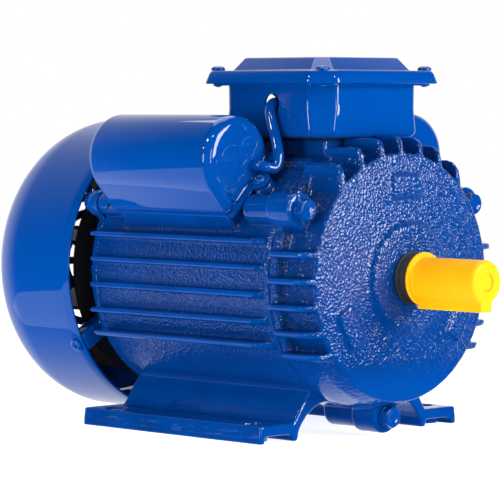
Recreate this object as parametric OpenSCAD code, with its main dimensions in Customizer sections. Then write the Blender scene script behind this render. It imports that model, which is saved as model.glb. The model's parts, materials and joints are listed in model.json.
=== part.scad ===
// Foot mounted, fan cooled, single phase induction motor with two capacitor covers.
// Millimetres. +X runs out of the drive end, +Z is up, the origin lies on the mounting
// plane at the centre of the four foot holes.

/* [Frame] */
// Height of the shaft centre above the mounting plane
shaft_height = 80; // [79:0.5:82]
// Outside radius of the cast frame between its fins
body_radius = 66.5; // [65.5:0.5:67]
// Front face of the cast frame
frame_front = 66; // [66:0.5:66.5]
// Rear face of the cast frame
frame_rear = -60; // [-60.5:0.5:-60]
// Distance of the side fin tips from the centre plane
fin_reach = 71.2; // [70.5:0.1:72]
// Thickness of a cast fin at its tip
fin_tip = 2.6; // [2.2:0.1:3]

/* [Feet] */
// Length of each foot along the shaft
foot_length = 130.8; // [128:0.2:134]
// Width over both feet
foot_width = 143.4; // [142.6:0.2:146]
// Height of a foot rail
foot_height = 9; // [8.5:0.1:9.5]
// Foot hole spacing along the shaft
hole_pitch_x = 100; // [98:0.5:102]
// Foot hole spacing across the shaft
hole_pitch_y = 125; // [123:0.5:125]
// Foot hole diameter
hole_diameter = 10; // [9:0.5:10]

/* [Shaft] */
// Diameter of the drive end of the shaft
shaft_diameter = 19; // [18.6:0.1:19]
// Length of the drive end of the shaft
shaft_extension = 40; // [38:0.5:40]
// Width of the shaft key
key_width = 6; // [5:0.5:6]
// Diameter of the transport cap tube
cap_diameter = 21.6; // [21.4:0.1:22.4]

/* [Fan cowl] */
// Outside radius of the fan cowl
cowl_radius = 77.5; // [77.5:0.1:78]
// Rear end of the fan cowl
cowl_rear = -142; // [-146:0.5:-140]
// Width of a grille slot
slot_width = 4.2; // [3:0.2:4.8]
// Number of grille spokes
spokes = 8; // [6:1:10]

/* [Terminal box] */
// Half width of the terminal box
box_half = 36.8; // [36.6:0.1:37.6]
// Half width of the lid
lid_half = 46.7; // [46:0.1:47.5]
// Height of the raised part of the lid
lid_rise = 6.6; // [5:0.2:8]

/* [Capacitor covers] */
// Radius of the round top of a cover
cover_radius = 22; // [21.5:0.1:22.5]
// Front end of a cover
cover_front = 43.5; // [43:0.5:44]
// Rear end of a cover
cover_rear = -46.5; // [-48:0.5:-46]

/* [Hidden] */
$fn = 64;
round_fn = 96;
slack = 0.05;
sheet = 1.2;
cast_blue = [0.03, 0.22, 0.60];
sheet_blue = [0.02, 0.24, 0.66];
steel = [0.70, 0.71, 0.73];
dark_steel = [0.32, 0.33, 0.35];
copper = [0.72, 0.38, 0.18];
varnish = [0.62, 0.22, 0.08];
alloy = [0.78, 0.79, 0.80];
brass = [0.80, 0.62, 0.26];
rubber = [0.06, 0.06, 0.07];
board_brown = [0.25, 0.12, 0.07];
cap_yellow = [1.0, 0.70, 0.02];
black_plastic = [0.08, 0.08, 0.09];
white_plastic = [0.88, 0.88, 0.86];

bore_radius = 60;
register_radius = 61.5;
register_depth = 4;
bolt_circle = 70;
bolt_angles = [30, 150, 270];
screw_angles = [90, 210, 330];
side_fins = [19.4, 6.4, -6.7, -19.8, -32];
shield_side_fins = [13.4, 0.4, -12.6, -25.6, -37];
top_fins = [-35, -21, -7, 7, 21, 35];
shield_top_fins = [-42, -28, -14, 0, 14, 28, 42];
rim_radius = 62;
rim_x = 93.6;
shield_fin_radius = 70.6;
boss_x = 99.6;
boss_radius = 27.25;
lug_face = 82.2;
front_bearing = [83.6, 97.6];
rear_bearing = [-79.2, -67.2];
shoulder_x = boss_x + 6.8;
shaft_end = shoulder_x + shaft_extension;
core_rear = -35;
core_front = 40;
stator_bore = 33;
rotor_radius = 32.65;
pad_top = shaft_height + 68.3;
box_centre = 36.9;
box_floor = pad_top + 1;
box_top = shaft_height + 97.4;
box_chamfer = 10;
lid_bottom = shaft_height + 96.4;
lid_top = shaft_height + 102.7;
lid_screw = 37;
wire_x = 50;
cover_plane = 72.4;
gasket = 0.9;
cover_centre_n = cover_plane + 14.6;
cover_centre_t = -3.9;
sleeve_radius = 2.8;
foot_half = foot_width / 2;
lip = 3.7;
plate_under = 3.5;
foot_boss = 8;
cowl_rim = -70;
corner_axial = 30;
corner_radial = 26;

// ---- helpers ----------------------------------------------------------------------

// Solid of revolution about the shaft axis, points are [radius, x]
module spin(points)
  translate([0, 0, shaft_height])
    rotate([0, 90, 0])
      rotate_extrude($fn = round_fn)
        polygon(points);

// Plain ring about the shaft axis
module ring(r_in, r_out, x0, x1)
  spin([[r_in, x0], [r_out, x0], [r_out, x1], [r_in, x1]]);

// Constant section along X, drawn as [y, z]
module along(x0, x1)
  translate([x0, 0, 0])
    rotate([90, 0, 90])
      linear_extrude(height = x1 - x0)
        children();

// Frame turned about the shaft axis: +Y is radial, +Z is tangential
module polar(angle)
  translate([0, 0, shaft_height])
    rotate([angle, 0, 0])
      children();

// Round bar parallel to X
module rod(x0, x1, r)
  translate([x0, 0, 0])
    rotate([0, 90, 0])
      cylinder(r = r, h = x1 - x0);

// Hexagon bar parallel to X, size across flats
module hex_rod(x0, x1, flats)
  translate([x0, 0, 0])
    rotate([0, 90, 0])
      cylinder(r = flats / sqrt(3), h = x1 - x0, $fn = 6);

// Square with cut corners
module octagon(a, c)
  polygon([[-a, -a + c], [-a + c, -a], [a - c, -a], [a, -a + c],
           [a, a - c], [a - c, a], [-a + c, a], [-a, a - c]]);

// Cut-corner block between two heights with its own size at each height
module octagon_block(a0, c0, z0, a1, c1, z1)
  hull() {
    translate([box_centre, 0, z0])
      linear_extrude(height = 0.01)
        octagon(a0, c0);
    translate([box_centre, 0, z1 - 0.01])
      linear_extrude(height = 0.01)
        octagon(a1, c1);
  }

// Frame of a capacitor cover: local x is X, local y points away from the shaft, local z
// runs up the slope. side = 1 is the -Y cover, side = -1 the +Y cover.
module cover_frame(side)
  if (side > 0)
    polar(135)
      mirror([0, 0, 1])
        children();
  else
    polar(45)
      children();

// Bar through a list of points, round at its joints
module tube(points, r) {
  for (i = [0 : len(points) - 2]) {
    step = points[i + 1] - points[i];
    length = norm(step);
    translate(points[i])
      rotate([0, acos(step[2] / length), atan2(step[1], step[0])])
        cylinder(r = r, h = length);
  }
  for (i = [1 : len(points) - 2])
    translate(points[i])
      sphere(r = r + 0.06);
}

// ---- cast frame and feet ----------------------------------------------------------

// Envelope that trims the side fins, slanted at the front
module side_fin_envelope()
  spin([[58, frame_rear], [76, frame_rear], [76, frame_front - 9], [62.4, frame_front],
        [58, frame_front]]);

module side_fins_of_frame()
  intersection() {
    for (side = [-1, 1])
      for (z = side_fins)
        along(frame_rear, frame_front)
          polygon([[side * 50, shaft_height + z - 2.1],
                   [side * fin_reach, shaft_height + z - fin_tip / 2],
                   [side * fin_reach, shaft_height + z + fin_tip / 2],
                   [side * 50, shaft_height + z + 2.1]]);
    side_fin_envelope();
  }

module top_fins_of_frame()
  intersection() {
    for (y = top_fins)
      along(frame_rear, frame_front)
        polygon([[y - 2, shaft_height + 50], [y + 2, shaft_height + 50],
                 [y + 1.3, shaft_height + 72], [y - 1.3, shaft_height + 72]]);
    spin([[58, frame_rear], [68.1, frame_rear], [68.1, frame_front - 4], [65, frame_front],
          [58, frame_front]]);
  }

// Leg between the round body and a foot
module leg(side)
  along(-foot_length / 2 + 5.4, foot_length / 2)
    polygon([[side * 20, shaft_height - 58], [side * 36.5, shaft_height - 55.4],
             [side * 40, 20.6], [side * 43.4, 16.5], [side * 46.2, 12],
             [side * 48.6, foot_height - 0.5], [side * 48.6, 1], [side * 44.9, 1],
             [side * 44.3, 4.5], [side * 42.2, 8], [side * 38.7, 11.8],
             [side * 34, 15.2], [side * 29.5, 17.2], [side * 24, 18.2]]);

// Channel shaped foot: plate on two lips that carry the motor
module foot(side)
  along(-foot_length / 2, foot_length / 2)
    polygon([[side * foot_half, 0], [side * (foot_half - 0.8), foot_height],
             [side * 44.9, foot_height], [side * 44.9, 0], [side * 48.6, 0],
             [side * 48.9, plate_under], [side * (foot_half - lip - 0.3), plate_under],
             [side * (foot_half - lip), 0]]);

// Flat cast pad that carries a capacitor cover
module cover_pad(side)
  cover_frame(side)
    along(-42, 39)
      polygon([[58, -28], [cover_plane - gasket, -26], [cover_plane - gasket, 8], [58, 10]]);

module motor_frame() {
  color(cast_blue)
    difference() {
      union() {
        ring(58, body_radius, frame_rear, frame_front);
        side_fins_of_frame();
        top_fins_of_frame();
        for (side = [-1, 1]) {
          leg(side);
          foot(side);
          cover_pad(side);
        }
        for (angle = [30, 150])
          polar(angle)
            translate([0, bolt_circle - 0.6, 0]) {
              rod(frame_rear, frame_rear + 18, 6);
              rod(frame_front - 18, frame_front, 7);
            }
        for (x = [-hole_pitch_x / 2, hole_pitch_x / 2])
          for (y = [-hole_pitch_y / 2, hole_pitch_y / 2])
            translate([x, y, 0])
              cylinder(r = foot_boss, h = foot_height - 1);
        for (span = [[frame_rear, frame_rear + 20], [frame_front - 20, frame_front]])
          polar(270)
            translate([0, bolt_circle - 1, 0])
              rod(span[0], span[1], 7.6);
        along(8, frame_front)
          polygon([[-28, shaft_height + 52], [28, shaft_height + 52], [27, pad_top],
                   [-27, pad_top]]);
        for (side = [-1, 1])
          for (x = [cover_front + 5, cover_rear - 5])
            cover_frame(side)
              translate([x, 58, -5])
                rotate([-90, 0, 0])
                  cylinder(r = 5.5, h = cover_plane - gasket - 58);
      }
      // stator bore and the registers of the two end shields
      ring(0, bore_radius, frame_rear - 1, frame_front + 1);
      ring(0, register_radius, frame_front - register_depth, frame_front + 1);
      ring(0, register_radius, frame_rear - 1, frame_rear + register_depth);
      // flat seat under each cover
      for (side = [-1, 1])
        cover_frame(side)
          translate([cover_rear - 4.4, cover_plane - gasket, -34])
            cube([cover_front - cover_rear + 9.2, 20, 60]);
      // tapped holes for the shield bolts
      for (angle = bolt_angles)
        polar(angle)
          translate([0, bolt_circle, 0]) {
            rod(frame_front - 16, frame_front + 1, 3.05);
            rod(frame_rear - 1, frame_rear + 16, 3.05);
          }
      // tapped holes for the cover screws
      for (side = [-1, 1])
        for (x = [cover_front + 5, cover_rear - 5])
          cover_frame(side)
            translate([x, 63, -5])
              rotate([-90, 0, 0])
                cylinder(r = 2.05, h = 12);
      // wire passage into the terminal box and its screw holes
      translate([wire_x, 0, shaft_height + 50])
        cylinder(r = 7, h = 30);
      for (x = [box_centre - 24, box_centre + 22])
        for (y = [-22, 22])
          translate([x, y, pad_top - 8])
            cylinder(r = 2.55, h = 9);
      translate([box_centre - 27, 0, pad_top - 6])
        cylinder(r = 2.05, h = 7);
      // foot holes
      for (x = [-hole_pitch_x / 2, hole_pitch_x / 2])
        for (y = [-hole_pitch_y / 2, hole_pitch_y / 2])
          translate([x, y, -1])
            cylinder(r = hole_diameter / 2, h = foot_height + 3);
    }
}

// ---- end shields ------------------------------------------------------------------

module shield_fins()
  intersection() {
    union() {
      for (side = [-1, 1])
        for (z = shield_side_fins)
          along(frame_front + 1, rim_x)
            polygon([[side * 50, shaft_height + z - 1.9], [side * 72, shaft_height + z - 1.3],
                     [side * 72, shaft_height + z + 1.3], [side * 50, shaft_height + z + 1.9]]);
      for (y = shield_top_fins)
        along(frame_front + 1, rim_x)
          polygon([[y - 1.8, shaft_height + 38], [y + 1.8, shaft_height + 38],
                   [y + 1.3, shaft_height + 72], [y - 1.3, shaft_height + 72]]);
    }
    spin([[58, frame_front], [68, frame_front], [shield_fin_radius, frame_front + 3],
          [shield_fin_radius, rim_x - 6.5], [shield_fin_radius - 0.8, rim_x - 3.4],
          [shield_fin_radius - 3, rim_x - 1.2], [rim_radius - 0.5, rim_x], [58, rim_x]]);
  }

module drive_end_shield() {
  color(cast_blue)
    difference() {
      union() {
        spin([[56.5, frame_front - register_depth],
              [register_radius - slack, frame_front - register_depth],
              [register_radius - slack, frame_front], [body_radius, frame_front],
              [body_radius, frame_front + 5], [61.2, frame_front + 6],
              [60.8, rim_x - 3], [rim_radius, rim_x - 2.4],
              [rim_radius, rim_x - 0.6], [rim_radius - 0.8, rim_x + 0.2], [48, rim_x + 1.6],
              [boss_radius + 2.2, rim_x + 2.9], [boss_radius + 0.8, rim_x + 3.5],
              [boss_radius, boss_x - 1.6], [boss_radius - 0.6, boss_x - 0.4],
              [boss_radius - 2, boss_x], [11.2, boss_x], [11.2, front_bearing[1]],
              [23.55, front_bearing[1]], [23.55, front_bearing[0] - 1.5], [28.5, 80.5],
              [29, rim_x - 3.2], [54.5, rim_x - 5], [56.5, rim_x - 7]]);
        shield_fins();
        // plain lower skirt
        intersection() {
          spin([[58, frame_front + 3], [body_radius, frame_front + 3], [body_radius, frame_front + 6],
                [64.6, rim_x - 8], [rim_radius + 0.4, rim_x - 2], [58, rim_x - 2]]);
          translate([frame_front, -80, 0])
            cube([40, 160, shaft_height - 38]);
        }
        // lugs for the three shield bolts
        for (angle = bolt_angles)
          polar(angle) {
            translate([0, bolt_circle, 0])
              rod(frame_front, lug_face, 8.4);
            translate([frame_front, 58, -8.4])
              cube([lug_face - frame_front, bolt_circle - 58, 16.8]);
          }
        // raised lands on the face
        for (angle = screw_angles)
          polar(angle)
            along(rim_x - 1, rim_x + 3.6)
              polygon([[40, -9], [41, -10], [50, -10], [51, -9], [51, 9], [50, 10], [41, 10],
                       [40, 9]]);
      }
      // recess for each bolt head behind the face
      for (angle = bolt_angles)
        polar(angle) {
          translate([0, bolt_circle, 0])
            rod(frame_front - 1, lug_face + 1, 3.15);
          translate([lug_face, bolt_circle, 0])
            rod(0, rim_x - lug_face - 2.9, 9.6);
          translate([lug_face, bolt_circle, -9.6])
            cube([rim_x - lug_face - 2.9, 12, 19.2]);
        }
      // room for the floor of the terminal box
      translate([frame_front - 1, -30, pad_top + 0.6])
        cube([box_centre + box_half - frame_front + 2, 60, 4]);
    }
}

module rear_end_shield() {
  color(cast_blue)
    difference() {
      union() {
        spin([[56.5, frame_rear + register_depth],
              [register_radius - slack, frame_rear + register_depth],
              [register_radius - slack, frame_rear], [body_radius, frame_rear],
              [body_radius - 0.6, frame_rear - 5.5], [60, frame_rear - 7],
              [28, frame_rear - 10], [25.5, frame_rear - 12], [24.5, -82.2], [23.5, -83],
              [9.4, -83], [9.4, -80], [20.05, -80], [20.05, -66.4], [23.5, -66.2],
              [24.5, frame_rear - 5], [54, frame_rear - 2.6], [56.5, frame_rear]]);
        for (angle = bolt_angles)
          polar(angle)
            translate([0, bolt_circle - 0.6, 0])
              rod(frame_rear - 7, frame_rear, 7.2);
        for (angle = screw_angles)
          polar(angle)
            translate([frame_rear - 19, 56, -5]) {
              cube([19, 5.5, 10]);
              cube([9.4, cowl_radius - sheet - 0.2 - 56, 10]);
            }
        for (angle = [0, 60, 120, 180, 240, 300])
          polar(angle)
            translate([frame_rear - 13, 22, -2])
              cube([8, 38, 4]);
      }
      for (angle = bolt_angles)
        polar(angle)
          translate([0, bolt_circle, 0])
            rod(frame_rear - 9, frame_rear + 1, 3.15);
      for (angle = screw_angles)
        polar(angle)
          translate([-75, 62, 0])
            rotate([-90, 0, 0])
              cylinder(r = 2.05, h = 20);
    }
}

// Hexagon head bolt along X: head from x0 to x1, shank on to x2
module shield_bolt(x0, x1, x2) {
  hex_rod(min(x0, x1), max(x0, x1), 10);
  rod(min(x1, x2), max(x1, x2), 3);
}

module front_shield_bolts() {
  color(cast_blue)
    for (angle = bolt_angles)
      polar(angle)
        translate([0, bolt_circle, 0])
          shield_bolt(lug_face + 5.6, lug_face + 1.6, frame_front - 12);
}

module front_spring_washers() {
  color(cast_blue)
    for (angle = bolt_angles)
      polar(angle)
        translate([0, bolt_circle, 0])
          difference() {
            rod(lug_face, lug_face + 1.6, 5.4);
            rod(lug_face - 1, lug_face + 3, 3.05);
          }
}

module rear_shield_bolts() {
  color(cast_blue)
    for (angle = bolt_angles)
      polar(angle)
        translate([0, bolt_circle, 0])
          shield_bolt(frame_rear - 11, frame_rear - 7, frame_rear + 12);
}

// ---- cowl -------------------------------------------------------------------------

function corner(r, x, radial, axial, from, to, step) =
  [for (a = [from : step : to]) [r + radial * cos(a), x - axial * sin(a)]];

module fan_cowl() {
  corner_x = cowl_rear + corner_axial;
  corner_r = cowl_radius - corner_radial;
  color(sheet_blue)
    difference() {
      union() {
        difference() {
          spin(concat([[cowl_radius, cowl_rim]],
                      corner(corner_r, corner_x, corner_radial, corner_axial, 0, 90, 7.5),
                      [[0, cowl_rear], [0, cowl_rear + sheet]],
                      corner(corner_r, corner_x, corner_radial - sheet,
                             corner_axial - sheet, 90, 0, -7.5),
                      [[cowl_radius - sheet, cowl_rim]]));
          for (r = [13, 21.5, 30, 38.5, 47])
            ring(r - slot_width / 2, r + slot_width / 2, cowl_rear - 1, cowl_rear + 3);
        }
        for (i = [0 : spokes - 1])
          polar(i * 360 / spokes)
            translate([cowl_rear, 9, -2])
              cube([sheet, 41.5, 4]);
      }
      for (angle = screw_angles)
        polar(angle)
          translate([-75, cowl_radius - 4, 0])
            rotate([-90, 0, 0])
              cylinder(r = 2.2, h = 8);
    }
}

// Round topped screw pointing inwards along local -Y, seated at radius r
module radial_screw(r, shank, length, head, rise)
  translate([0, r, 0])
    rotate([-90, 0, 0]) {
      intersection() {
        cylinder(r = head, h = rise);
        translate([0, 0, rise - head * 1.4])
          sphere(r = head * 1.4);
      }
      translate([0, 0, -length])
        cylinder(r = shank, h = length + 0.2);
    }

module cowl_screws() {
  color(sheet_blue)
    for (angle = screw_angles)
      polar(angle)
        translate([-75, 0, 0])
          radial_screw(cowl_radius + 0.05, 2, 10, 3.8, 2.2);
}

// ---- stator -----------------------------------------------------------------------

slots = 24;

slot_floor = stator_bore + 2;
slot_top = 48.5;
divide = 43;

function slot_half(r) = 1.8 + (r - slot_floor) * 2.1 / (slot_top - slot_floor);

// Slot section up to radius top, drawn smaller by grow on every side
module slot_profile(grow, top) {
  low = slot_floor + grow;
  high = top - grow;
  polygon([[low, grow - slot_half(low)], [low, slot_half(low) - grow],
           [high, slot_half(high) - grow], [high, grow - slot_half(high)]]);
}

module stator_core() {
  color(steel)
    difference() {
      ring(stator_bore, bore_radius - slack, core_rear, core_front);
      for (i = [0 : slots - 1])
        polar(i * 360 / slots) {
          along(core_rear - 1, core_front + 1)
            slot_profile(0, slot_top);
          translate([core_rear - 1, stator_bore - 2, -1.1])
            cube([core_front - core_rear + 2, 5, 2.2]);
        }
    }
}

// Bundle of end turns, rounded in section
module end_turns(r0, r1, x0, x1) {
  c = 3;
  spin([[r0, x0 + c], [r0 + c, x0], [r1 - c, x0], [r1, x0 + c], [r1, x1 - c], [r1 - c, x1],
        [r0 + c, x1], [r0, x1 - c]]);
}

// Straight wires in the listed slots, up to radius top, standing out of the core by reach
module coil_sides(list, top, reach)
  for (i = list)
    polar(i * 360 / slots)
      along(core_rear - reach, core_front + reach)
        slot_profile(0.35, top);

main_slots = [for (i = [0 : slots - 1]) if (i % 6 < 4) i];
start_slots = [for (i = [0 : slots - 1]) if (i % 6 > 3) i];

module main_winding() {
  color(varnish) {
    coil_sides(main_slots, slot_top, 1.4);
    end_turns(divide + 0.2, 54.8, core_front + 1, core_front + 20);
    end_turns(divide + 0.2, 54.8, core_rear - 20, core_rear - 1);
  }
}

module start_winding() {
  color(copper) {
    coil_sides(start_slots, divide, 2.4);
    end_turns(slot_floor + 0.2, divide - 0.2, core_front + 1.8, core_front + 17);
    end_turns(slot_floor + 0.2, divide - 0.2, core_rear - 17, core_rear - 1.8);
  }
}

// ---- terminal box -----------------------------------------------------------------

stud_x = [box_centre - 14, box_centre, box_centre + 14];
board_z = box_floor + 5.7;

module terminal_box() {
  color(sheet_blue)
    difference() {
      union() {
        octagon_block(box_half - 2.4, box_chamfer - 1.2, box_floor, box_half, box_chamfer,
                      box_floor + 4);
        octagon_block(box_half, box_chamfer, box_floor + 4, box_half, box_chamfer, box_top);
        translate([box_centre, 0, box_top - 1.6])
          linear_extrude(height = 1.6)
            octagon(lid_half - 3.4, box_chamfer - 0.8);
      }
      octagon_block(box_half - sheet * 1.3, box_chamfer - 0.6, box_floor + 1.5,
                    box_half - sheet * 1.3, box_chamfer - 0.6, box_top + 5);
      // wire holes, cable entry, passage and screw holes
      translate([40, 0, box_floor + 17])
        rotate([90, 0, 0])
          cylinder(r = 5, h = 120, center = true);
      translate([box_centre - 50, 0, box_floor + 14])
        rod(0, 25, 8);
      translate([wire_x, 0, box_floor - 1])
        cylinder(r = 7, h = 5);
      for (x = [box_centre - 24, box_centre + 22])
        for (y = [-22, 22])
          translate([x, y, box_floor - 1])
            cylinder(r = 2.7, h = 5);
      translate([box_centre - 27, 0, box_floor - 1])
        cylinder(r = 2.2, h = 5);
      for (x = [-lid_screw, lid_screw])
        for (y = [-lid_screw, lid_screw])
          translate([box_centre + x, y, box_top - 4])
            cylinder(r = 2.1, h = 8);
    }
}

module box_gasket() {
  color(rubber)
    difference() {
      translate([8.5, -26, pad_top])
        cube([frame_front - 9, 52, 1]);
      translate([wire_x, 0, pad_top - 1])
        cylinder(r = 8, h = 3);
      for (x = [box_centre - 24, box_centre + 22])
        for (y = [-22, 22])
          translate([x, y, pad_top - 1])
            cylinder(r = 2.7, h = 3);
      translate([box_centre - 27, 0, pad_top - 1])
        cylinder(r = 2.2, h = 3);
    }
}

module terminal_lid() {
  color(sheet_blue)
    difference() {
      union() {
        octagon_block(lid_half, box_chamfer + 0.5, lid_bottom, lid_half - 1.3, box_chamfer,
                      lid_top - 1);
        octagon_block(lid_half - 1.3, box_chamfer, lid_top - 1, lid_half - 2.6,
                      box_chamfer - 0.6, lid_top);
        octagon_block(35.6, 8, lid_top - 0.5, 29.7, 4.8, lid_top + lid_rise);
      }
      octagon_block(lid_half - 1.3, box_chamfer, lid_bottom - 1, lid_half - 2.5,
                    box_chamfer - 0.6, lid_top - sheet);
      octagon_block(34.6, 7.6, lid_top - sheet - 1, 28.9, 4.5, lid_top + lid_rise - sheet);
      for (x = [-lid_screw, lid_screw])
        for (y = [-lid_screw, lid_screw])
          translate([box_centre + x, y, lid_top - 4])
            cylinder(r = 2.2, h = 8);
    }
}

module lid_gasket() {
  color(rubber)
    difference() {
      translate([box_centre, 0, box_top])
        linear_extrude(height = lid_top - sheet - box_top)
          difference() {
            octagon(lid_half - 4, box_chamfer - 1);
            octagon(box_half - 2, box_chamfer - 1);
          }
      for (x = [-lid_screw, lid_screw])
        for (y = [-lid_screw, lid_screw])
          translate([box_centre + x, y, box_top - 1])
            cylinder(r = 2.2, h = 8);
    }
}

// Upright round topped screw whose head sits at height z
module upright_screw(x, y, z, shank, length, head, rise)
  translate([x, y, z]) {
    intersection() {
      cylinder(r = head, h = rise);
      translate([0, 0, rise - head * 1.5])
        sphere(r = head * 1.5);
    }
    translate([0, 0, -length])
      cylinder(r = shank, h = length + 0.2);
  }

module lid_screws() {
  color(sheet_blue)
    for (x = [-lid_screw, lid_screw])
      for (y = [-lid_screw, lid_screw])
        upright_screw(box_centre + x, y, lid_top, 2, 8.2, 3.7, 2.4);
}

module box_screws() {
  color(steel)
    for (x = [box_centre - 24, box_centre + 22])
      for (y = [-22, 22])
        upright_screw(x, y, box_floor + 1.5, 2.5, 9, 4.4, 2.8);
}

module terminal_board() {
  color(board_brown)
    difference() {
      union() {
        translate([box_centre - 22, -13, board_z])
          cube([40, 26, 5]);
        for (spot = [[-19, -9], [-19, 9], [15, -9]])
          translate([box_centre + spot[0], spot[1], box_floor + 1.5])
            cylinder(r = 2.6, h = board_z - box_floor - 1.5);
        for (x = [box_centre - 9, box_centre + 5])
          translate([x, -13, board_z])
            cube([1.6, 26, 9]);
      }
      for (x = stud_x)
        for (y = [-7.5, 7.5])
          translate([x - 2, y, board_z - 1])
            cylinder(r = 2.05, h = 12);
    }
}

module terminal_studs() {
  color(brass)
    for (x = stud_x)
      for (y = [-7.5, 7.5])
        translate([x - 2, y, board_z + 0.2])
          cylinder(r = 2, h = 14.5);
}

module terminal_nuts() {
  color(brass)
    for (x = stud_x)
      for (y = [-7.5, 7.5])
        for (z = [5, 9.3])
          translate([x - 2, y, board_z + z])
            difference() {
              cylinder(r = 4.04, h = 3, $fn = 6);
              translate([0, 0, -1])
                cylinder(r = 2.02, h = 6);
            }
}

module terminal_links() {
  color(brass)
    for (x = stud_x)
      difference() {
        translate([x - 6, -11, board_z + 8.1])
          cube([8, 22, 1]);
        for (y = [-7.5, 7.5])
          translate([x - 2, y, board_z + 7])
            cylinder(r = 2.1, h = 4);
      }
}

module earth_screw() {
  color(steel)
    translate([box_centre - 27, 0, box_floor + 1.5]) {
      cylinder(r = 4.62, h = 3, $fn = 6);
      translate([0, 0, -7.5])
        cylinder(r = 2, h = 7.6);
    }
}

lead_spots = [[stud_x[0] - 2, -1], [stud_x[1] - 2, -1], [stud_x[1] - 2, 1], [stud_x[2] - 2, 1]];

module winding_leads() {
  color(rubber)
    for (i = [0 : 3]) {
      x = lead_spots[i][0];
      side = lead_spots[i][1];
      start_x = wire_x - 4.2 + 2.8 * i;
      tube([[start_x, 0, shaft_height + 55.4], [start_x, 0, box_floor + 3.4],
            [x, side * 15.6, box_floor + 3.4], [x, side * 16.4, board_z + 8.4],
            [x, side * 12.4, board_z + 13.4]], 1.15);
    }
}

// ---- capacitors -------------------------------------------------------------------

// Closed skin over a list of point rings
module skin(rings) {
  count = len(rings[0]);
  last = len(rings) - 1;
  polyhedron(
    points = [for (loop = rings) for (p = loop) p],
    faces = concat(
      [[for (j = [0 : count - 1]) j]],
      [[for (j = [count - 1 : -1 : 0]) last * count + j]],
      [for (k = [0 : last - 1]) for (j = [0 : count - 1])
        [k * count + j, (k + 1) * count + j, (k + 1) * count + (j + 1) % count]],
      [for (k = [0 : last - 1]) for (j = [0 : count - 1])
        [k * count + j, (k + 1) * count + (j + 1) % count, k * count + (j + 1) % count]]));
}

// Section of a cover at x: round top, straight slope down to the open edge
function cover_ring(x, r, cut, low) =
  let (dn = cut - cover_centre_n)
  let (dt = low - cover_centre_t)
  let (from = atan2(dt, dn) + acos(r / norm([dn, dt])))
  let (to = acos(dn / r))
  let (arc = 26)
  concat([for (i = [0 : arc]) let (a = from + (to - from) * i / arc)
           [x, cover_centre_n + r * cos(a), cover_centre_t + r * sin(a)]],
         [[x, cut, low]]);

// Pressed shell with rounded ends
module cover_solid(r, cut, low, x0, x1, round)
  skin([for (step = [[0, 0.9], [0.08, 0.58], [0.3, 0.27], [0.62, 0.07], [1, 0]])
          cover_ring(x0 + step[0] * round, r - step[1] * round, cut,
                     low + step[1] * round * 0.5),
        for (step = [[1, 0], [0.62, 0.07], [0.3, 0.27], [0.08, 0.58], [0, 0.9]])
          cover_ring(x1 - step[0] * round, r - step[1] * round, cut,
                     low + step[1] * round * 0.5)]);

module cover(side)
  cover_frame(side)
    difference() {
      union() {
        cover_solid(cover_radius, cover_plane, -25.5, cover_rear, cover_front, 6);
        along(cover_rear - 0.5, cover_front + 4)
          polygon([[cover_plane, -29.5], [cover_plane, 14], [cover_plane + sheet, 14],
                   [cover_plane + sheet, -29.5]]);
        for (x = [cover_front + 5, cover_rear - 5])
          translate([x, cover_plane, -5])
            rotate([-90, 0, 0])
              cylinder(r = 5.4, h = sheet);
        translate([cover_rear - 5, cover_plane, -10.4])
          cube([cover_front - cover_rear + 10, sheet, 10.8]);
      }
      cover_solid(cover_radius - sheet, cover_plane - 0.6, -24, cover_rear + sheet,
                  cover_front - sheet, 5);
      for (x = [cover_front + 5, cover_rear - 5])
        translate([x, cover_plane - 2, -5])
          rotate([-90, 0, 0])
            cylinder(r = 2.2, h = 6);
      translate([cover_front - 8, sleeve_n, sleeve_t])
        rod(0, 12, 3.4);
    }

sleeve_n = cover_plane + 5.2;
sleeve_t = 1.2;

module left_cover() {
  color(sheet_blue)
    cover(1);
}

module right_cover() {
  color(sheet_blue)
    cover(-1);
}

module cover_gaskets() {
  color(rubber)
    for (side = [-1, 1])
      cover_frame(side)
        difference() {
          along(-41.5, 38.5)
            polygon([[cover_plane - gasket, -26], [cover_plane - gasket, 8], [cover_plane, 8],
                     [cover_plane, -26]]);
          along(-37, 34)
            polygon([[cover_plane - 2, -21], [cover_plane - 2, 4], [cover_plane + 1, 4],
                     [cover_plane + 1, -21]]);
        }
}

module cover_screws() {
  color(sheet_blue)
    for (side = [-1, 1])
      for (x = [cover_front + 5, cover_rear - 5])
        cover_frame(side)
          translate([x, 0, -5])
            radial_screw(cover_plane + sheet, 2, 9, 3.6, 2.2);
}

capacitor_n = cover_plane + 17;

// Round can with its two spade tabs
module capacitor(side, x0, x1, r)
  cover_frame(side) {
    translate([0, capacitor_n, cover_centre_t]) {
      rod(x0, x1, r);
      rod(x1, x1 + 1.6, r - 3);
      for (z = [-6, 6])
        translate([x1 + 1, -0.4, z - 3.1])
          cube([6.5, 0.8, 6.2]);
    }
  }

module start_capacitor() {
  color(black_plastic)
    capacitor(1, -41, 31, 16.4);
}

module run_capacitor() {
  color(white_plastic)
    capacitor(-1, -38, 29, 15.2);
}

module strap(side, r)
  cover_frame(side)
    difference() {
      union() {
        translate([0, capacitor_n, cover_centre_t])
          rod(-9, 1, r + 0.9);
        translate([-9, cover_plane - gasket, cover_centre_t - 13])
          cube([10, capacitor_n - cover_plane - r + 4, 19.6]);
      }
      translate([0, capacitor_n, cover_centre_t])
        rod(-10, 2, r + 0.05);
    }

module capacitor_straps() {
  color(steel) {
    strap(1, 16.4);
    strap(-1, 15.2);
  }
}

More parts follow.
